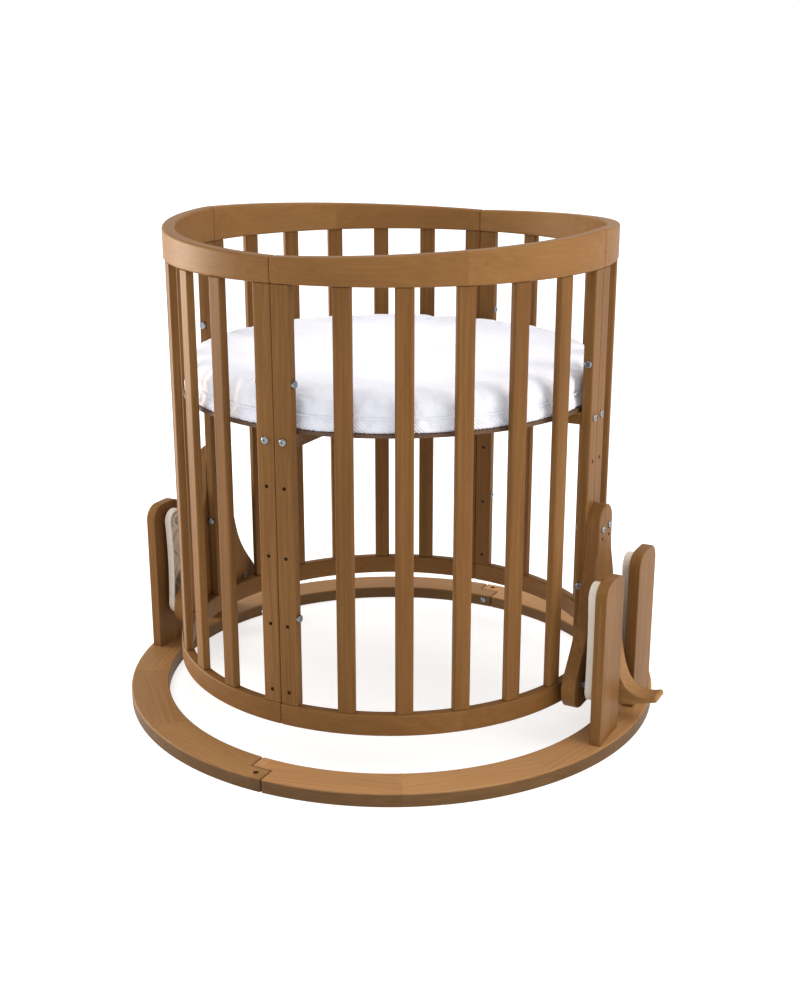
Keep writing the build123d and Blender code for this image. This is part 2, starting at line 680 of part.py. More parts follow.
def build_stand():
    ring = floor_ring_half()
    save("floor_ring_right", ring)
    save("floor_ring_left", turned(ring, 180))
    joint_bolt, barrel, _, _ = ring_joint_hardware()
    save("ring_joint_bolts", [joint_bolt, turned(joint_bolt, 180)])
    save("ring_barrel_nuts", [barrel, turned(barrel, 180)])
    names = ("back_right", "front_right", "back_left", "front_left")
    for name, post in zip(names, four_corners(stand_post())):
        save(f"stand_post_{name}", post)
    save("post_screws", [post_screw(x, y) for x, y in post_screw_places()])
    stand_bolt, insert, washer = upper_pivot()
    save("upper_pivot_bolts", four_corners(stand_bolt))
    save("upper_pivot_inserts", four_corners(insert))
    save("upper_pivot_washers", four_corners(washer))
    for name, link in zip(names, four_corners(swing_link())):
        save(f"swing_link_{name}", link)


def build_pendulum():
    bracket = swing_bracket() - bracket_holes()
    pedal = foot_pedal()
    for name, angle in (("right", 0), ("left", 180)):
        save(f"swing_bracket_{name}", turned(bracket, angle))
        save(f"foot_pedal_{name}", turned(pedal, angle))
    screws = [pedal_screw(z) for z in pedal_screw_z()]
    save("pedal_screws", [turned(screw, angle) for screw in screws for angle in (0, 180)])
    body_bolt, spacer, nut = lower_pivot()
    save("lower_pivot_bolts", four_corners(body_bolt))
    save("lower_pivot_spacers", four_corners(spacer))
    save("lower_pivot_nuts", four_corners(nut))
    pairs = [bracket_bolt(side * seam_post_offset, z) for side in (-1, 1) for z in bracket_bolt_z]
    save("bracket_bolts", [turned(screw, angle) for screw, _ in pairs for angle in (0, 180)])
    save("bracket_nuts", [turned(cap, angle) for _, cap in pairs for angle in (0, 180)])


def build_panels():
    slots = panel_slots()
    slat = upright(slat_width, slat_thickness, slat_round)
    slats = [at_slot(slat, slot) for slot in slots[:slats_per_panel]]
    posts = [seam_post(slots[-2], False), seam_post(slots[-1], True)]
    front_right = {
        "bottom_ring": [bottom_ring_quarter()],
        "top_rail": [top_rail_quarter()],
        "slats": slats,
        "seam_posts": posts,
    }
    for piece, solids in front_right.items():
        back_right = [mirrored(solid, Plane.XZ) for solid in solids]
        save(f"{piece}_front_right", solids)
        save(f"{piece}_back_right", back_right)
        save(f"{piece}_back_left", [turned(solid, 180) for solid in solids])
        save(f"{piece}_front_left", [turned(solid, 180) for solid in back_right])
    seam_pairs = [seam_bolt(z) for z in seam_bolt_z]
    for name, angle in (("right", 0), ("back", 90), ("left", 180), ("front", -90)):
        save(f"seam_bolts_{name}", [turned(screw, angle) for screw, _ in seam_pairs])
        save(f"seam_nuts_{name}", [turned(cap, angle) for _, cap in seam_pairs])


def build_bed():
    bar = bearer(board_z)
    crossing = turned(bearer(bearer_z), 90)
    board = platform_board()
    screws = []
    for angle in (0, 90, 180, 270):
        for x in board_screw_places():
            hole = turned(board_screw_hole(x), angle)
            board -= hole
            bar -= hole
            crossing -= hole
            screws.append(turned(board_screw(x), angle))
    save("bearer_across", bar)
    save("bearer_lengthwise", crossing)
    save("platform_board", board)
    save("board_screws", screws)
    pairs = [platform_bolt(side * seam_post_offset) for side in (-1, 1)]
    save("platform_bolts", [solid for screw, _ in pairs for solid in four_seams(screw)])
    save("platform_barrel_nuts", [solid for _, nut in pairs for solid in four_seams(nut)])
    save("mattress", mattress())


os.makedirs("parts", exist_ok=True)
build_stand()
build_pendulum()
build_panels()
build_bed()
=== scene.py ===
import bmesh
import bpy
import numpy as np
from math import pi, radians
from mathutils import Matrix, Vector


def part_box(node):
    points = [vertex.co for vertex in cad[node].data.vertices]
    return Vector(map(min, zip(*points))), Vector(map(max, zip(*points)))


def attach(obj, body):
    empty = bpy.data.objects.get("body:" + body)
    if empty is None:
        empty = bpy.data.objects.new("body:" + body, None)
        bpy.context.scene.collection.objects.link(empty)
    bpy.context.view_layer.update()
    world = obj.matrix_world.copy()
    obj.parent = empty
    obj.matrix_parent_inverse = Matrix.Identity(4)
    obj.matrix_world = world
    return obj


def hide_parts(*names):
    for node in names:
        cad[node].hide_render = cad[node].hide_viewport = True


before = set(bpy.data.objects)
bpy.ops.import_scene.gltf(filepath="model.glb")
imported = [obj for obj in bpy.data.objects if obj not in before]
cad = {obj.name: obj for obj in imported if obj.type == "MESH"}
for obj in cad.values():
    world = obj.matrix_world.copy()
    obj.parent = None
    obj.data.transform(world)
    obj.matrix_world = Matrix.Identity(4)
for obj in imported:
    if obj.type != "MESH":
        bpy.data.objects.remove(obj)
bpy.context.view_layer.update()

# ---------------------------------------------------------------- camera
# A standing adult's view of the crib, three-quarter from the front, about 2.5 m away.

camera = bpy.data.objects.new("camera", bpy.data.cameras.new("camera"))
camera.location = (1.1747, -2.2091, 1.1492)
camera.rotation_euler = (radians(72.67), 0.0, radians(27.64))
camera.data.lens = 50.7
camera.data.sensor_width = 36.0
bpy.context.scene.collection.objects.link(camera)
bpy.context.scene.camera = camera


# ---------------------------------------------------------------- studio
# A white floor and, far off, a round white wall, both lit from within so that they stay white. A wide
# silk overhead brightens what faces up, and a soft box each side lights the flanks more than the front.

def linear(colour):
    """An sRGB hex colour as linear RGBA."""
    srgb = np.array([int(colour[i:i + 2], 16) for i in (1, 3, 5)]) / 255
    rgb = np.where(srgb <= 0.04045, srgb / 12.92, ((srgb + 0.055) / 1.055) ** 2.4)
    return (*rgb.tolist(), 1.0)


def soft_box(name, place, target, size, watts, colour):
    """A rectangular lamp at place that faces target."""
    lamp = bpy.data.lights.new(name, "AREA")
    lamp.shape = "RECTANGLE"
    lamp.size, lamp.size_y = size
    lamp.energy = watts
    lamp.color = linear(colour)[:3]
    box = bpy.data.objects.new(name, lamp)
    aim = np.subtract(target, place)
    across, down = np.hypot(aim[0], aim[1]), -aim[2]
    box.location = place
    box.rotation_euler = (np.arctan2(across, down), 0.0, np.arctan2(-aim[0], aim[1]))
    bpy.context.scene.collection.objects.link(box)


crib_middle = (0.0, 0.0, 0.45)
soft_box("left_soft_box", (-2.9, -0.5, 0.7), crib_middle, (1.6, 1.2), 105, "#fff1de")
soft_box("right_soft_box", (2.9, 0.0, 1.6), crib_middle, (1.6, 2.0), 52, "#fff1de")
silk = bpy.data.lights.new("overhead_silk", "SUN")
silk.energy = 2.3
silk.angle = radians(80)
overhead = bpy.data.objects.new("overhead_silk", silk)
overhead.location = (0.0, 0.0, 3.0)
bpy.context.scene.collection.objects.link(overhead)
bpy.context.scene.view_settings.view_transform = "Standard"

world = bpy.data.worlds.new("white_room")
bpy.context.scene.world = world
world.use_nodes = True
world.node_tree.nodes["Background"].inputs["Color"].default_value = linear("#ffffff")
world.node_tree.nodes["Background"].inputs["Strength"].default_value = 0.5


def stage(name, points, faces, colour, glow):
    """A surface of the studio, which also shines white with the share glow."""
    paint = bpy.data.materials.new(name)
    paint.use_nodes = True
    shader = paint.node_tree.nodes["Principled BSDF"]
    shader.inputs["Base Color"].default_value = linear(colour)
    shader.inputs["Roughness"].default_value = 0.9
    shader.inputs["Emission Color"].default_value = linear("#ffffff")
    shader.inputs["Emission Strength"].default_value = glow
    sheet = bpy.data.meshes.new(name)
    sheet.from_pydata(points, [], faces)
    sheet.materials.append(paint)
    made = bpy.data.objects.new(name, sheet)
    bpy.context.scene.collection.objects.link(made)


floor_reach, wall_radius, wall_height, wall_sides = 20, 15, 7, 24
floor = [(floor_reach * x, floor_reach * y, 0) for x, y in ((-1, -1), (1, -1), (1, 1), (-1, 1))]
stage("floor", floor, [(0, 1, 2, 3)], "#bcbcbc", 0.64)
wall_turn = np.linspace(0, 2 * pi, wall_sides, endpoint=False)
wall = [(wall_radius * np.cos(t), wall_radius * np.sin(t), z) for z in (0, wall_height) for t in wall_turn]
wall_faces = [(i, (i + 1) % wall_sides, (i + 1) % wall_sides + wall_sides, i + wall_sides)
              for i in range(wall_sides)]
stage("round_wall", wall, wall_faces, "#303030", 0.98)


# ---------------------------------------------------------------- floor ring
# The stand's foot: two half rings of 24 mm beech, glued from boards laid along chords, which lap at front
# and back and are bolted there. Planed tops stay light and the rims are darker: partly because the sawn
# rims drank more stain, partly as painted shade of sides that the light from above misses.

def add(tree, kind, inputs=None, **settings):
    """Add a shader node: settings are its properties, inputs its sockets by name or number."""
    made = tree.nodes.new(kind)
    for name, value in settings.items():
        setattr(made, name, value)
    for socket, value in (inputs or {}).items():
        if isinstance(value, bpy.types.NodeSocket):
            tree.links.new(value, made.inputs[socket])
        else:
            made.inputs[socket].default_value = value
    return made


def new_material(name):
    """A material of that name: itself, its node tree, its shader and the place on the piece."""
    material = bpy.data.materials.new(name)
    material.use_nodes = True
    tree = material.node_tree
    place = add(tree, "ShaderNodeTexCoord").outputs["Object"]
    return material, tree, tree.nodes["Principled BSDF"], place


def stick_number(tree, x, y):
    """Number of the stick that a point belongs to: quarter turn times 7, plus which 14 degree cell of it."""
    cell_size, first_edge, cells_per_quarter = 14, 10, 7
    turn = add(tree, "ShaderNodeMath", {0: y, 1: x}, operation="ARCTAN2")
    quarters = add(tree, "ShaderNodeMath", {0: turn.outputs[0], 1: 2 / pi}, operation="MULTIPLY")
    quarter = add(tree, "ShaderNodeMath", {0: quarters.outputs[0]}, operation="FLOOR")
    part = add(tree, "ShaderNodeMath", {0: quarters.outputs[0]}, operation="FRACT")
    cells = add(tree, "ShaderNodeMath", {0: part.outputs[0], 1: 90 / cell_size, 2: -first_edge / cell_size},
                operation="MULTIPLY_ADD")
    cell = add(tree, "ShaderNodeMath", {0: cells.outputs[0]}, operation="FLOOR")
    return add(tree, "ShaderNodeMath", {0: quarter.outputs[0], 1: cells_per_quarter, 2: cell.outputs[0]},
               operation="MULTIPLY_ADD").outputs[0]


def board_number(tree, x, y, board_angle):
    """Number of the glued board that a point of a ring belongs to, each board_angle radians long."""
    turn = add(tree, "ShaderNodeMath", {0: y, 1: x}, operation="ARCTAN2")
    boards = add(tree, "ShaderNodeMath", {0: turn.outputs[0], 1: 1 / board_angle}, operation="MULTIPLY")
    return add(tree, "ShaderNodeMath", {0: boards.outputs[0]}, operation="FLOOR").outputs[0]


def stained_beech(name, grain, seed=0.0, board_angle=pi / 4, edge=1.0, figure=1.0,
                  deep="#55371b", middle="#6e4c28", light="#86623a"):
    """Solid beech under a walnut-brown spirit stain and satin lacquer: straight fine grain, faint broad
    growth rings, and slightly cloudy stain where the wood drank more. Its grain runs up, along x,
    along y, or along the chords of a ring of glued boards.

    The pattern adds growth rings, a sine across the grain that a noise bends, to streaks, pores
    and cloudy stain, three noises stretched along the grain. One colour ramp reads the sum.
    Upright faces are darkened to the share edge of their colour: partly because sawn edges drink more
    stain than a planed top, partly as painted shade of sides that the light from above misses. Figure
    is the share of the pattern's contrast.
    """
    material, tree, shader, place = new_material(name)
    axes = add(tree, "ShaderNodeSeparateXYZ", {0: place})
    x, y, z = axes.outputs
    if grain == "ring":
        number = board_number(tree, x, y, board_angle)
        middle_turn = add(tree, "ShaderNodeMath", {0: number, 1: -board_angle, 2: -board_angle / 2},
                          operation="MULTIPLY_ADD").outputs[0]
        turned = add(tree, "ShaderNodeVectorRotate", {"Vector": place, "Angle": middle_turn},
                     rotation_type="Z_AXIS").outputs[0]
        local = add(tree, "ShaderNodeSeparateXYZ", {0: turned})
        side, along, depth = local.outputs
    elif grain == "up":
        number = stick_number(tree, x, y)
        side, depth, along = x, y, z
    elif grain == "along_x":
        number = stick_number(tree, x, y)
        side, depth, along = y, z, x
    else:
        number = stick_number(tree, x, y)
        side, depth, along = x, z, y

    # each stick and each glued board has a stretch of the pattern and a tone of its own
    own_shift = 0.731
    shift = add(tree, "ShaderNodeMath", {0: number, 1: own_shift, 2: seed},
                operation="MULTIPLY_ADD").outputs[0]
    own = add(tree, "ShaderNodeTexWhiteNoise", {"W": shift}, noise_dimensions="1D").outputs["Value"]
    moved = add(tree, "ShaderNodeMath", {0: along, 1: shift}, operation="ADD").outputs[0]
    wood = add(tree, "ShaderNodeCombineXYZ", {0: side, 1: depth, 2: moved}).outputs[0]

    def layer(across_mm, along_mm, detail, distortion=0.0):
        """Noise whose features are across_mm wide and along_mm long."""
        scales = (1000 / across_mm, 1000 / across_mm, 1000 / along_mm)
        scaled = add(tree, "ShaderNodeVectorMath", {0: wood, 1: scales}, operation="MULTIPLY")
        return add(tree, "ShaderNodeTexNoise", {"Vector": scaled.outputs[0], "Scale": 1.0, "Detail": detail,
                                                "Roughness": 0.6, "Distortion": distortion}).outputs["Fac"]

    def weigh(value, weight, rest):
        """weight x (value - 1/2) + rest."""
        centred = add(tree, "ShaderNodeMath", {0: value, 1: 0.5}, operation="SUBTRACT").outputs[0]
        return add(tree, "ShaderNodeMath", {0: centred, 1: weight, 2: rest},
                   operation="MULTIPLY_ADD").outputs[0]

    ring_width = 0.011
    bend = add(tree, "ShaderNodeMath", {0: layer(60, 500, 2), 1: 0.05, 2: side},
               operation="MULTIPLY_ADD").outputs[0]
    rings = add(tree, "ShaderNodeMath", {0: bend, 1: 2 * pi / ring_width, 2: shift},
                operation="MULTIPLY_ADD").outputs[0]
    rings = add(tree, "ShaderNodeMath", {0: rings}, operation="SINE").outputs[0]
    rings = add(tree, "ShaderNodeMath", {0: rings, 1: 0.5, 2: 0.5}, operation="MULTIPLY_ADD").outputs[0]
    streaks = layer(5, 320, 3, 0.1)
    # beech's own pores are too fine to show, so they are drawn 1.6 mm wide
    pores = layer(1.6, 30, 2)
    clouds = layer(70, 300, 2)

    shade = weigh(rings, 0.06 * figure, 0.5)
    shade = weigh(streaks, 0.55 * figure, shade)
    shade = weigh(pores, 0.30 * figure, shade)
    shade = weigh(clouds, 0.30, shade)
    shade = weigh(own, 0.16, shade)
    ramp = add(tree, "ShaderNodeValToRGB", {0: shade})
    ramp.color_ramp.elements[0].position = 0.12
    ramp.color_ramp.elements[0].color = linear(deep)
    ramp.color_ramp.elements[1].position = 0.88
    ramp.color_ramp.elements[1].color = linear(light)
    ramp.color_ramp.elements.new(0.5).color = linear(middle)
    # painted shade: the more upright a face stands, the darker it is drawn, partly for the stain sawn edges
    # drink, partly for the light from above that misses them
    normal = add(tree, "ShaderNodeTexCoord").outputs["Normal"]
    facing = add(tree, "ShaderNodeSeparateXYZ", {0: normal}).outputs[2]
    level = add(tree, "ShaderNodeMath", {0: facing}, operation="ABSOLUTE").outputs[0]
    stain_and_painted_shade = add(tree, "ShaderNodeMath", {0: level, 1: 1 - edge, 2: edge}, operation="MULTIPLY_ADD").outputs[0]
    colour = add(tree, "ShaderNodeVectorMath", {0: ramp.outputs["Color"], "Scale": stain_and_painted_shade}, operation="SCALE")
    tree.links.new(colour.outputs[0], shader.inputs["Base Color"])

    # satin lacquer: even sheen, a little duller over open pores
    gloss = weigh(pores, -0.12, 0.46)
    tree.links.new(gloss, shader.inputs["Roughness"])
    shader.inputs["IOR"].default_value = 1.45
    shader.inputs["Specular IOR Level"].default_value = 0.1
    bump = add(tree, "ShaderNodeBump", {"Height": pores, "Strength": 0.10, "Distance": 0.0004})
    tree.links.new(bump.outputs[0], shader.inputs["Normal"])
    return material


def finish(material, *names):
    """Give the CAD nodes this material."""
    for name in names:
        for socket in cad[name].material_slots:
            socket.material = material


# the fifth number is how much colour the upright rims keep: partly stain, partly painted shade
finish(stained_beech("stained_beech_floor_ring_right", "ring", 0.3, pi / 6, 0.34, 0.9,
                     "#825e3b", "#9e764d", "#b68f63"), "floor_ring_right")
finish(stained_beech("stained_beech_floor_ring_left", "ring", 2.6, pi / 6, 0.42, 0.9,
                     "#6e4e2e", "#85623d", "#9e7a51"), "floor_ring_left")


# ---------------------------------------------------------------- stand posts
# Four upright 20 mm beech plates with rounded heads, which carry the upper pivots of the links.
# Two screws from under the floor ring hold each of them.

corners = ("front_right", "back_right", "back_left", "front_left")
for number, corner in enumerate(corners):
    finish(stained_beech(f"stained_beech_stand_post_{corner}", "up", 1.7 + 0.9 * number),
           f"stand_post_{corner}")


# ---------------------------------------------------------------- bottom rings and top rails
# Quarter rings, each sawn from two glued beech boards, which hold the ends of a panel's sticks. The top
# rails stand higher at the sides than at front and back.

for number, corner in enumerate(corners):
    finish(stained_beech(f"stained_beech_bottom_ring_{corner}", "ring", 5.1 + 0.7 * number, figure=0.6),
           f"bottom_ring_{corner}")
    finish(stained_beech(f"stained_beech_top_rail_{corner}", "ring", 8.3 + 0.6 * number, figure=0.5,
                         deep="#5e3e1f", middle="#7a5630", light="#926d42"),
           f"top_rail_{corner}")


# ---------------------------------------------------------------- slats and seam posts
# Planed beech sticks with rounded edges, tenoned into both rings: five slats to a panel, and at each end
# of it a wider post, which is bolted to the next panel's.

stick_beech = stained_beech("stained_beech_sticks", "up")
for corner in corners:
    finish(stick_beech, f"slats_{corner}", f"seam_posts_{corner}")


# ---------------------------------------------------------------- swing brackets and foot pedals
# At each side an anchor-shaped plate of 24 mm beech is bolted to two seam posts and hangs on two links.
# The foot pedal, a curved 42 mm rib, is screwed to it and is a shade lighter.

for number, side in enumerate(("right", "left")):
    finish(stained_beech(f"stained_beech_bracket_{side}", "up", 12.4 + number), f"swing_bracket_{side}")
    finish(stained_beech(f"stained_beech_pedal_{side}", "along_x", 15.2 + number,
                         deep="#684727", middle="#8a653c", light="#a47e52"), f"foot_pedal_{side}")


# ---------------------------------------------------------------- bearers
# Two beech bars that cross under the bed board, halved into each other. Their ends are bolted through
# the seam posts.

finish(stained_beech("stained_beech_bearer_across", "along_x", 18.6), "bearer_across")
finish(stained_beech("stained_beech_bearer_lengthwise", "along_y", 19.9), "bearer_lengthwise")


# ---------------------------------------------------------------- links and washers
# The crib body swings on four waisted plates of moulded white nylon, with the faint orange-peel of a
# spark-eroded mould and a soft satin sheen. The washers behind them are turned from the same plastic.

nylon, tree, shader, place = new_material("moulded_white_nylon")
# the mould's own grain is too fine to show, so the peel is drawn 1.5 mm wide
peel = add(tree, "ShaderNodeTexNoise", {"Vector": place, "Scale": 1000 / 1.5, "Detail": 2.0}).outputs["Fac"]
patch = add(tree, "ShaderNodeTexNoise", {"Vector": place, "Scale": 1000 / 60, "Detail": 1.0}).outputs["Fac"]
tint = add(tree, "ShaderNodeMix", {"Factor": patch}, data_type="RGBA")
for socket, colour in (("A", "#cfc4b4"), ("B", "#ded6ca")):
    [s for s in tint.inputs if s.name == socket and s.type == "RGBA"][0].default_value = linear(colour)
tree.links.new([s for s in tint.outputs if s.type == "RGBA"][0], shader.inputs["Base Color"])
shader.inputs["Roughness"].default_value = 0.42
shader.inputs["IOR"].default_value = 1.53
shader.inputs["Subsurface Weight"].default_value = 0.1
shader.inputs["Subsurface Radius"].default_value = (0.004, 0.003, 0.002)
bump = add(tree, "ShaderNodeBump", {"Height": peel, "Strength": 0.08, "Distance": 0.0003})
tree.links.new(bump.outputs[0], shader.inputs["Normal"])
finish(nylon, *(f"swing_link_{corner}" for corner in corners), "upper_pivot_washers")


# ---------------------------------------------------------------- bolts, nuts and screws
# Bolts with hex sockets, cap nuts, cross dowels, spacers and screws of zinc-plated steel hold the wood
# together. Plating is bluish white and mirrors softly.

zinc, tree, shader, place = new_material("zinc_plated_steel")
spots = add(tree, "ShaderNodeTexNoise", {"Vector": place, "Scale": 1000 / 3, "Detail": 3.0}).outputs["Fac"]
ramp = add(tree, "ShaderNodeValToRGB", {0: spots})
ramp.color_ramp.elements[0].color = linear("#5c6168")
ramp.color_ramp.elements[1].color = linear("#9ea3a9")
tree.links.new(ramp.outputs["Color"], shader.inputs["Base Color"])
rough = add(tree, "ShaderNodeMath", {0: spots, 1: 0.2, 2: 0.18}, operation="MULTIPLY_ADD")
tree.links.new(rough.outputs[0], shader.inputs["Roughness"])
shader.inputs["Metallic"].default_value = 1.0
seams = ("front", "right", "back", "left")
finish(zinc, "ring_joint_bolts", "ring_barrel_nuts", "post_screws", "upper_pivot_bolts", "pedal_screws",
       "bracket_bolts", "bracket_nuts", "lower_pivot_bolts", "lower_pivot_spacers", "lower_pivot_nuts",
       "platform_bolts", "platform_barrel_nuts", "board_screws", *(f"seam_bolts_{seam}" for seam in seams),
       *(f"seam_nuts_{seam}" for seam in seams))


# ---------------------------------------------------------------- threaded inserts
# Turned brass sleeves sunk in the stand posts, into which the upper pivot bolts screw. Turning leaves
# the yellow metal slightly uneven.

brass, tree, shader, place = new_material("turned_brass")
turning = add(tree, "ShaderNodeTexNoise", {"Vector": place, "Scale": 1000 / 2, "Detail": 2.0}).outputs["Fac"]
ramp = add(tree, "ShaderNodeValToRGB", {0: turning})
ramp.color_ramp.elements[0].color = linear("#a9863f")
ramp.color_ramp.elements[1].color = linear("#d6b565")
tree.links.new(ramp.outputs["Color"], shader.inputs["Base Color"])
shader.inputs["Metallic"].default_value = 1.0
shader.inputs["Roughness"].default_value = 0.35
finish(brass, "upper_pivot_inserts")


# ---------------------------------------------------------------- bed board
# A disc of 6 mm hardboard, stained dark and screwed to the bearers. Pressed fibre gives a fine felted
# mottle and a dull face.

hardboard, tree, shader, place = new_material("stained_hardboard")
fibre = add(tree, "ShaderNodeTexNoise", {"Vector": place, "Scale": 1000 / 2.5, "Detail": 4.0,
                                         "Roughness": 0.7}).outputs["Fac"]
ramp = add(tree, "ShaderNodeValToRGB", {0: fibre})
ramp.color_ramp.elements[0].position = 0.3
ramp.color_ramp.elements[0].color = linear("#3c2616")
ramp.color_ramp.elements[1].position = 0.75
ramp.color_ramp.elements[1].color = linear("#6b4a30")
tree.links.new(ramp.outputs["Color"], shader.inputs["Base Color"])
shader.inputs["Roughness"].default_value = 0.62
bump = add(tree, "ShaderNodeBump", {"Height": fibre, "Strength": 0.25, "Distance": 0.0004})
tree.links.new(bump.outputs[0], shader.inputs["Normal"])
finish(hardboard, "platform_board")


# ---------------------------------------------------------------- mattress
# A round foam core in a white cover of knit, with a piped seam above a ribbed skirt. Pressure swells
# the cover as cloth between the sticks, the seam and the board, and the knit's relief comes after.

low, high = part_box("mattress")
mattress_radius = (high[0] - low[0]) / 2
mattress_bottom, mattress_top = low[2], high[2]
seam_height = mattress_bottom + 0.024

# in each quarter the wall meets a seam post, five slats and the next seam post, in degrees
stick_turns = radians(1) * np.array([90 * quarter + place for quarter in range(4)
                                     for place in (4, 17, 31, 45, 59, 73, 86)])


def cover_profile(count):
    """Half section from the top's middle, over a soft edge, down the wall and under: radius, height.

    The soft edge is a quarter of an ellipse 26 mm wide and 20 mm high, the foot a quarter circle of 2 mm. The
    wall has radius reach + flare x share below the seam - dent x exp(-(rise / 5 mm)^2), where rise is
    the height over the seam: the seam is pulled in, and the heavier skirt flares to the board's rim.
    """
    edge_width, edge_height, foot, crown = 0.026, 0.020, 0.002, 0.003
    flare, dent, dent_width = 0.0055, 0.002, 0.005
    side_room, top_room = 0.002, 0.004
    reach = mattress_radius - side_room
    turn = np.linspace(0, pi / 2, count // 4)
    top = np.linspace(0.0, reach - edge_width, count // 2, endpoint=False)
    shoulder = mattress_top - top_room
    wall = np.linspace(shoulder - edge_height, mattress_bottom + foot, count // 3)[1:-1]
    skirt = reach + flare
    under = np.linspace(skirt - foot, 0.0, count // 4)[1:]
    low_share = np.clip((seam_height - wall) / (seam_height - mattress_bottom), 0, 1)
    radius = [top, reach - edge_width * (1 - np.sin(turn)),
              reach + flare * low_share - dent * np.exp(-((wall - seam_height) / dent_width) ** 2),
              skirt - foot * (1 - np.cos(turn)), under]
    height = [shoulder + crown * (1 - (top / reach) ** 4) - crown * (1 - (1 - edge_width / reach) ** 4),
              shoulder - edge_height * (1 - np.cos(turn)), wall,
              mattress_bottom + foot * (1 - np.sin(turn)), np.full(under.shape, mattress_bottom)]
    return np.concatenate(radius), np.concatenate(height)


def revolve(name, radius, height, around):
    """Closed surface of revolution of radius and height arrays (profile, around), poles at both ends."""
    turn = np.linspace(0, 2 * pi, around, endpoint=False)
    points = np.stack([radius * np.cos(turn), radius * np.sin(turn), height], axis=-1)
    rows = radius.shape[0]
    inner = points[1:-1].reshape(-1, 3)
    vertices = np.concatenate([points[:1].mean(axis=1), inner, points[-1:].mean(axis=1)])
    row, column = np.meshgrid(np.arange(rows - 3), np.arange(around), indexing="ij")
    following = (column + 1) % around
    start = 1 + row * around
    quads = np.stack([start + column, start + around + column,
                      start + around + following, start + following], -1)
    ring = np.arange(around)
    after = (ring + 1) % around
    last = 1 + (rows - 3) * around
    crown = np.stack([np.zeros(around, int), 1 + ring, 1 + after], -1)
    base = np.stack([np.full(around, len(vertices) - 1), last + after, last + ring], -1)
    mesh = bpy.data.meshes.new(name)
    mesh.from_pydata(vertices.tolist(), [], quads.reshape(-1, 4).tolist() + crown.tolist() + base.tolist())
    mesh.update()
    made = bpy.data.objects.new(name, mesh)
    bpy.context.scene.collection.objects.link(made)
    return made


def points_of(mesh):
    """Vertex places of a mesh as an array of rows x, y, z."""
    places = np.empty(3 * len(mesh.vertices))
    mesh.vertices.foreach_get("co", places)
    return places.reshape(-1, 3)


def stick_nearness(turn, width):
    """exp(-(distance / width)^2) of the distance along the wall to the nearest stick, in metres."""
    away = np.abs((turn[..., None] - stick_turns + pi) % (2 * pi) - pi).min(axis=-1)
    return np.exp(-(away * mattress_radius / width) ** 2)


def around_wall(surface, height, turn):
    """Wall's radius at that height and at each turn, read from the surface's points and smoothed."""
    band, depth, steps, spread = 0.003, 0.02, 400, 3
    reach = np.hypot(surface[:, 0], surface[:, 1])
    beside = (np.abs(surface[:, 2] - height) < band) & (reach > mattress_radius - depth)
    wall_turn = np.arctan2(surface[beside, 1], surface[beside, 0])
    order = np.argsort(wall_turn)
    even = np.linspace(-pi, pi, steps, endpoint=False)
    radius = np.interp(even, wall_turn[order], reach[beside][order], period=2 * pi)
    radius = sum(np.roll(radius, step) for step in range(-spread, spread + 1)) / (2 * spread + 1)
    return np.interp(turn, even, radius, period=2 * pi)


def apply_modifiers(piece):
    """Put the result of the piece's modifiers in its mesh."""
    shown = piece.evaluated_get(bpy.context.evaluated_depsgraph_get())
    made = bpy.data.meshes.new_from_object(shown)
    piece.modifiers.clear()
    piece.data = made


# the unswollen cover, pressed in by each stick that it touches
around = 420
stick_press, press_width, press_reach = 0.0035, 0.014, 0.03
profile_radius, profile_height = cover_profile(140)
turn = np.linspace(0, 2 * pi, around, endpoint=False)
wall_share = np.clip((profile_radius - mattress_radius + press_reach) / press_reach, 0, 1)[:, None]
radius = profile_radius[:, None] - stick_press * wall_share * stick_nearness(turn, press_width)[None, :]
height = np.repeat(profile_height[:, None], around, 1)
mattress = revolve("mattress_cover", radius, height, around)
remesh = mattress.modifiers.new("even_quads", "REMESH")
remesh.mode = "VOXEL"
remesh.voxel_size = 0.0065
apply_modifiers(mattress)

# held along the underside, the seam, where the sticks press, and by the foam under the middle of the top,
# while the rest of the cover can swell: the underside's hold is whole up to 2 mm and fades out at 6 mm
wall_depth, wall_fade, underside_fade, seam_width = 0.02, 0.012, 0.004, 0.0035
stick_hold, stick_width, middle_hold, middle_rim = 0.8, 0.008, 0.75, 0.05
start = points_of(mattress.data)
start_radius = np.hypot(start[:, 0], start[:, 1])
start_turn = np.arctan2(start[:, 1], start[:, 0])
on_wall = np.clip((start_radius - mattress_radius + wall_depth) / wall_fade, 0, 1)
underside = np.clip(1.5 - (start[:, 2] - mattress_bottom) / underside_fade, 0, 1)
along_seam = on_wall * np.exp(-((start[:, 2] - seam_height) / seam_width) ** 2)
at_sticks = stick_hold * on_wall * stick_nearness(start_turn, stick_width)
middle = middle_hold * np.clip((mattress_radius - middle_rim - start_radius) / middle_rim, 0, 1)
held = np.maximum.reduce([underside, along_seam, at_sticks, middle])
pins = mattress.vertex_groups.new(name="held")
for number, share in enumerate(held.tolist()):
    pins.add([number], share, "REPLACE")
cloth = mattress.modifiers.new("cover_cloth", "CLOTH")
cloth.settings.use_pressure = True
cloth.settings.uniform_pressure_force = 4.0
cloth.settings.effector_weights.gravity = 0.0
cloth.settings.vertex_group_mass = "held"
cloth.settings.shrink_min = -0.05
cloth.settings.quality = 5
frames = 20
cloth.point_cache.frame_end = frames
for frame_number in range(1, frames + 1):
    bpy.context.scene.frame_set(frame_number)
apply_modifiers(mattress)

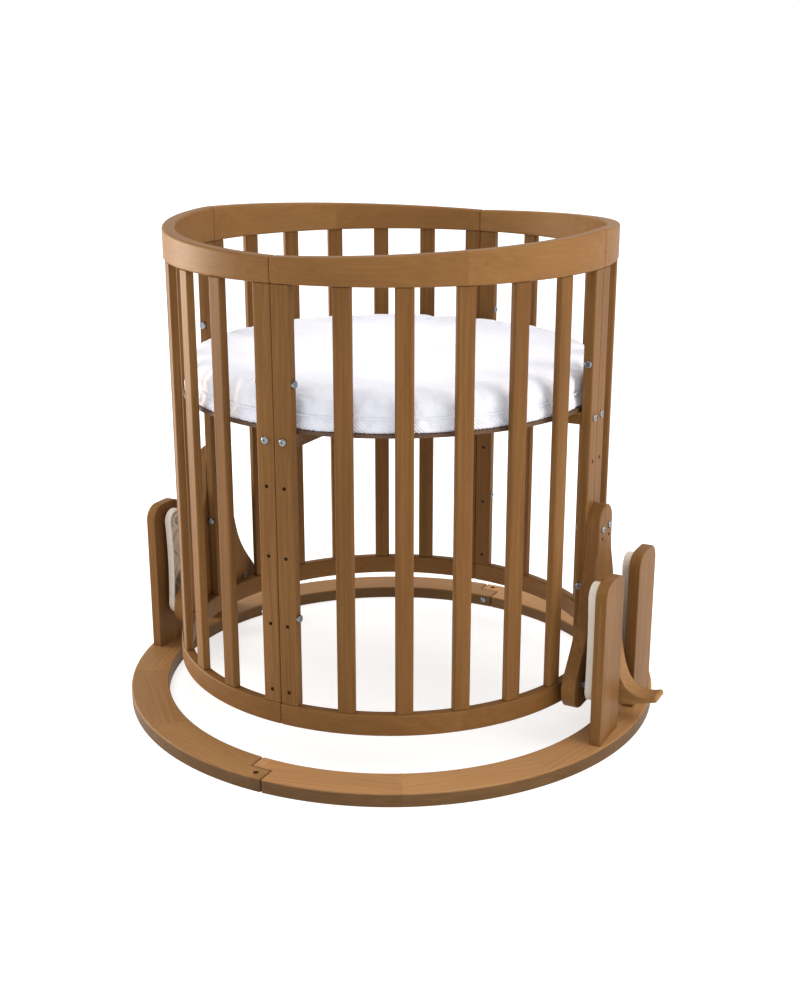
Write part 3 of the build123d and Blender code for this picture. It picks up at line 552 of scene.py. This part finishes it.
# no point moves further than the swell limit, and none past the mattress by more than the two that follow
swell_limit, outward_limit, upward_limit = 0.005, 0.0038, 0.002
swollen = points_of(mattress.data)
moved = swollen - start
length = np.linalg.norm(moved, axis=1)
swollen = start + moved * (np.minimum(length, swell_limit) / np.maximum(length, 1e-9))[:, None]
reach = np.hypot(swollen[:, 0], swollen[:, 1])
fitting = np.minimum(1, (mattress_radius + outward_limit) / np.maximum(reach, 1e-9))
swollen[:, :2] *= fitting[:, None]
swollen[:, 2] = np.clip(swollen[:, 2], mattress_bottom, mattress_top + upward_limit)
mattress.data.vertices.foreach_set("co", swollen.ravel())
mattress.data.update()
bpy.context.scene.frame_set(1)
smoother = mattress.modifiers.new("finer", "SUBSURF")
smoother.levels = smoother.render_levels = 1
apply_modifiers(mattress)
mattress.data.polygons.foreach_set("use_smooth", np.ones(len(mattress.data.polygons), bool))

# squeezed on the board, the skirt's foot is a sharp corner: its rounding is stretched out to a square one
foot_size = 0.006
surface = points_of(mattress.data)
reach = np.hypot(surface[:, 0], surface[:, 1])
foot_line = around_wall(surface, mattress_bottom + foot_size, np.arctan2(surface[:, 1], surface[:, 0]))
out_share = (reach - foot_line + foot_size) / foot_size
down_share = (mattress_bottom + foot_size - surface[:, 2]) / foot_size
rounding = (out_share > 0) & (down_share > 0)
stretch = np.where(rounding, 1 / np.maximum(np.maximum(out_share, down_share), 0.5), 1.0)
squared = np.where(rounding, foot_line - foot_size + foot_size * out_share * stretch, reach)
surface[:, :2] *= (squared / np.maximum(reach, 1e-9))[:, None]
lowered = mattress_bottom + foot_size - foot_size * down_share * stretch
surface[:, 2] = np.where(rounding, lowered, surface[:, 2])
mattress.data.vertices.foreach_set("co", surface.ravel())
mattress.data.update()

# the piping lies on the swollen wall, a tube of eight sides along the seam all the way round
sides = 8
piping_radius, piping_stand_off = 0.0017, 0.0006
seam_line = around_wall(surface, seam_height, turn)
piping_turn, piping_around = np.meshgrid(turn, np.linspace(0, 2 * pi, sides, endpoint=False), indexing="ij")
out = seam_line[:, None] + piping_stand_off + piping_radius * np.cos(piping_around)
piping_points = np.stack([out * np.cos(piping_turn), out * np.sin(piping_turn),
                          seam_height + piping_radius * np.sin(piping_around)], axis=-1).reshape(-1, 3)
row, column = np.meshgrid(np.arange(around), np.arange(sides), indexing="ij")
next_row, next_column = (row + 1) % around, (column + 1) % sides
piping_faces = np.stack([sides * row + column, sides * next_row + column,
                         sides * next_row + next_column, sides * row + next_column], axis=-1).reshape(-1, 4)
piping = bpy.data.meshes.new("piping")
piping.from_pydata(piping_points.tolist(), [], piping_faces.tolist())
piping.polygons.foreach_set("use_smooth", np.ones(len(piping.polygons), bool))
whole = bmesh.new()
whole.from_mesh(mattress.data)
whole.from_mesh(piping)
whole.to_mesh(mattress.data)
whole.free()

# the knit: slanting ribs on the skirt, a waffle on the wall that fades towards the top, both unevenly worn
knit, tree, shader, place = new_material("quilted_white_knit")
x, y, z = add(tree, "ShaderNodeSeparateXYZ", {0: place}).outputs
turned = add(tree, "ShaderNodeMath", {0: y, 1: x}, operation="ARCTAN2").outputs[0]
rib_width, stitch_width, row_height = 0.00687, 0.00544, 0.011
ribs_around = round(2 * pi * mattress_radius / rib_width)
stitches_around = round(2 * pi * mattress_radius / stitch_width)
slant = add(tree, "ShaderNodeMath", {0: z, 1: ribs_around / mattress_radius}, operation="MULTIPLY").outputs[0]
rib = add(tree, "ShaderNodeMath", {0: turned, 1: ribs_around, 2: slant}, operation="MULTIPLY_ADD").outputs[0]
rib = add(tree, "ShaderNodeMath", {0: rib}, operation="SINE").outputs[0]
rows = add(tree, "ShaderNodeMath", {0: z, 1: 2 * pi / row_height}, operation="MULTIPLY").outputs[0]
rows = add(tree, "ShaderNodeMath", {0: rows}, operation="SINE").outputs[0]
stitches = add(tree, "ShaderNodeMath", {0: turned, 1: stitches_around, 2: slant},
               operation="MULTIPLY_ADD").outputs[0]
stitches = add(tree, "ShaderNodeMath", {0: stitches}, operation="SINE").outputs[0]
waffle = add(tree, "ShaderNodeMath", {0: rows, 1: stitches}, operation="MULTIPLY").outputs[0]
below = add(tree, "ShaderNodeMapRange", {"Value": z, "From Min": seam_height - 0.001,
                                         "From Max": seam_height - 0.003}).outputs[0]
above = add(tree, "ShaderNodeMapRange", {"Value": z, "From Min": mattress_top - 0.006,
                                         "From Max": mattress_top - 0.024, "To Max": 0.6}).outputs[0]
over_seam = add(tree, "ShaderNodeMath", {0: z, 1: seam_height + 0.002}, operation="GREATER_THAN").outputs[0]
above = add(tree, "ShaderNodeMath", {0: above, 1: over_seam}, operation="MULTIPLY").outputs[0]
relief = add(tree, "ShaderNodeMath", {0: rib, 1: below}, operation="MULTIPLY").outputs[0]
relief = add(tree, "ShaderNodeMath", {0: waffle, 1: above, 2: relief}, operation="MULTIPLY_ADD").outputs[0]
worn = add(tree, "ShaderNodeTexNoise", {"Vector": place, "Scale": 1000 / 14, "Detail": 2.0}).outputs["Fac"]
relief = add(tree, "ShaderNodeMath", {0: relief, 1: worn}, operation="MULTIPLY").outputs[0]
# the knit's own loops are too fine to show, so the weave is drawn 2.2 mm wide
weave = add(tree, "ShaderNodeTexNoise", {"Vector": place, "Scale": 1000 / 2.2, "Detail": 2.0}).outputs["Fac"]
relief = add(tree, "ShaderNodeMath", {0: weave, 1: 0.45, 2: relief}, operation="MULTIPLY_ADD").outputs[0]
soft = add(tree, "ShaderNodeTexNoise", {"Vector": place, "Scale": 1000 / 120, "Detail": 2.0}).outputs["Fac"]
# painted shade and highlight: the knit's raised ribs, waffle and weave are drawn lighter and its grooves
# darker, on top of the soft random tone
tone_and_groove_shade = add(tree, "ShaderNodeMath", {0: relief, 1: 0.14, 2: soft}, operation="MULTIPLY_ADD").outputs[0]
ramp = add(tree, "ShaderNodeValToRGB", {0: tone_and_groove_shade})
ramp.color_ramp.elements[0].position = 0.3
ramp.color_ramp.elements[0].color = linear("#dbdeeb")
ramp.color_ramp.elements[1].position = 0.7
ramp.color_ramp.elements[1].color = linear("#e8ebf6")
tree.links.new(ramp.outputs["Color"], shader.inputs["Base Color"])
shader.inputs["Roughness"].default_value = 0.85
shader.inputs["Sheen Weight"].default_value = 0.3
bump = add(tree, "ShaderNodeBump", {"Height": relief, "Strength": 0.7, "Distance": 0.0009})
tree.links.new(bump.outputs[0], shader.inputs["Normal"])
mattress.data.materials.append(knit)
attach(mattress, "mattress")
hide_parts("mattress")
